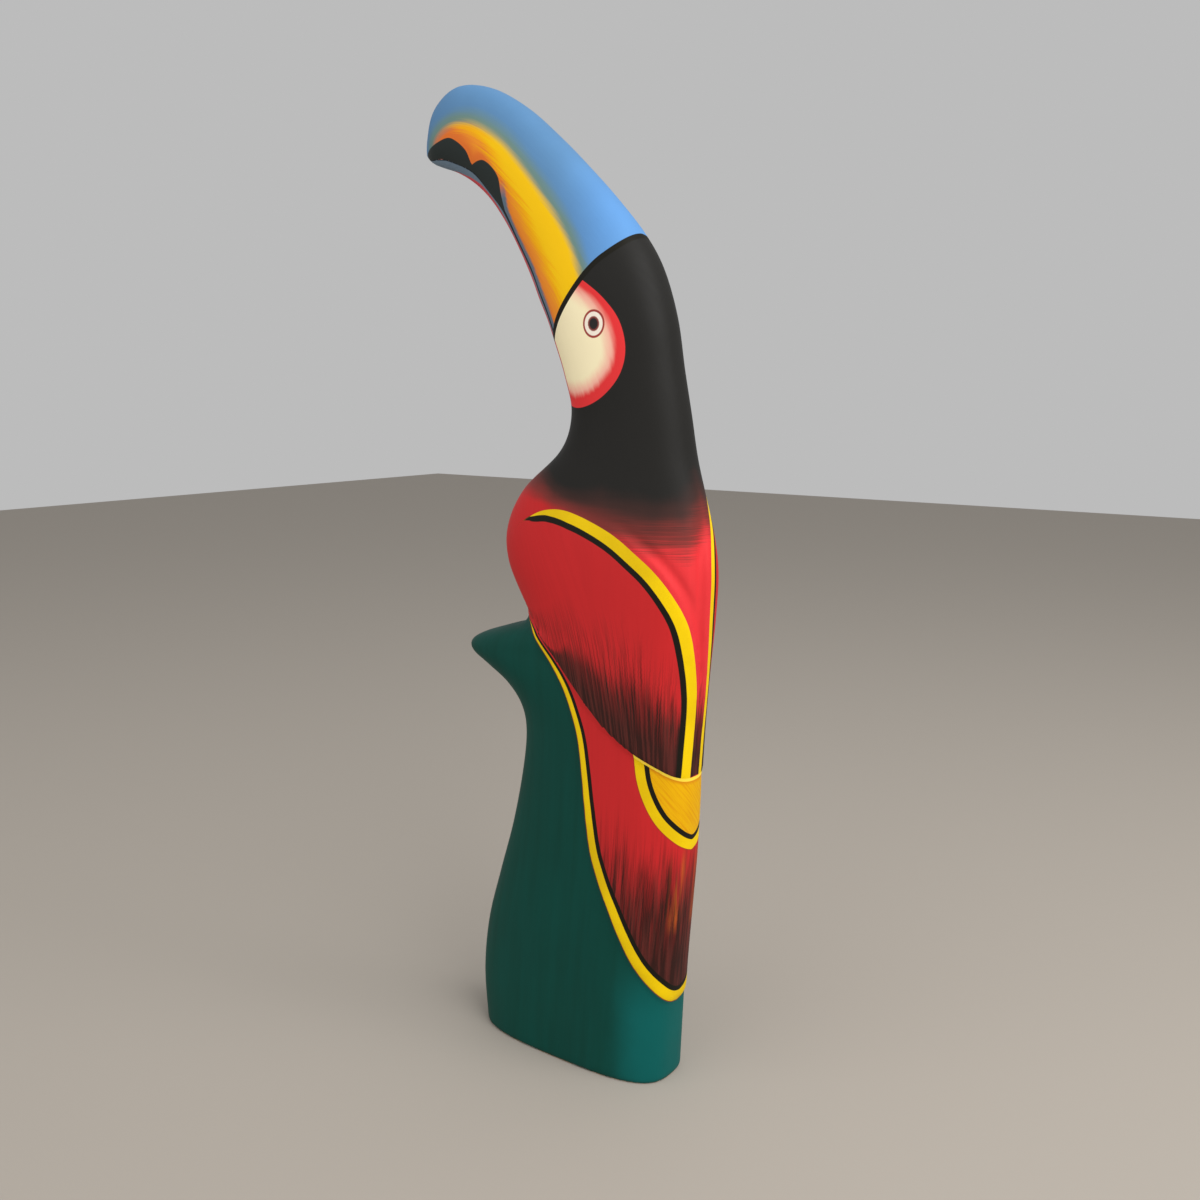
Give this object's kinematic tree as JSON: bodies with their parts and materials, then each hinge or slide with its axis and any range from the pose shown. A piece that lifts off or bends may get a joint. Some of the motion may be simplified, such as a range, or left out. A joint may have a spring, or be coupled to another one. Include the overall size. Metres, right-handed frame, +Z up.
{
  "type": "carved wooden toucan",
  "caption": "Tall carved and painted wooden toucan on a flat-bottomed tree stump, with a long down-curved bill; stands upright as an ornament.",
  "frame": {"origin": "centre of the flat underside of the stump, on the floor", "axes": "+Z up along the height; the bird faces -Y; +X is its left side, across the thickness of the board"},
  "size_m": [0.051, 0.1767, 0.4998],
  "materials": {
    "painted_wood": "satin hand-painted wood in red, black, yellow, blue and green"
  },
  "bodies": {
    "root": {"toucan": "painted_wood"}
  },
  "joints": []
}
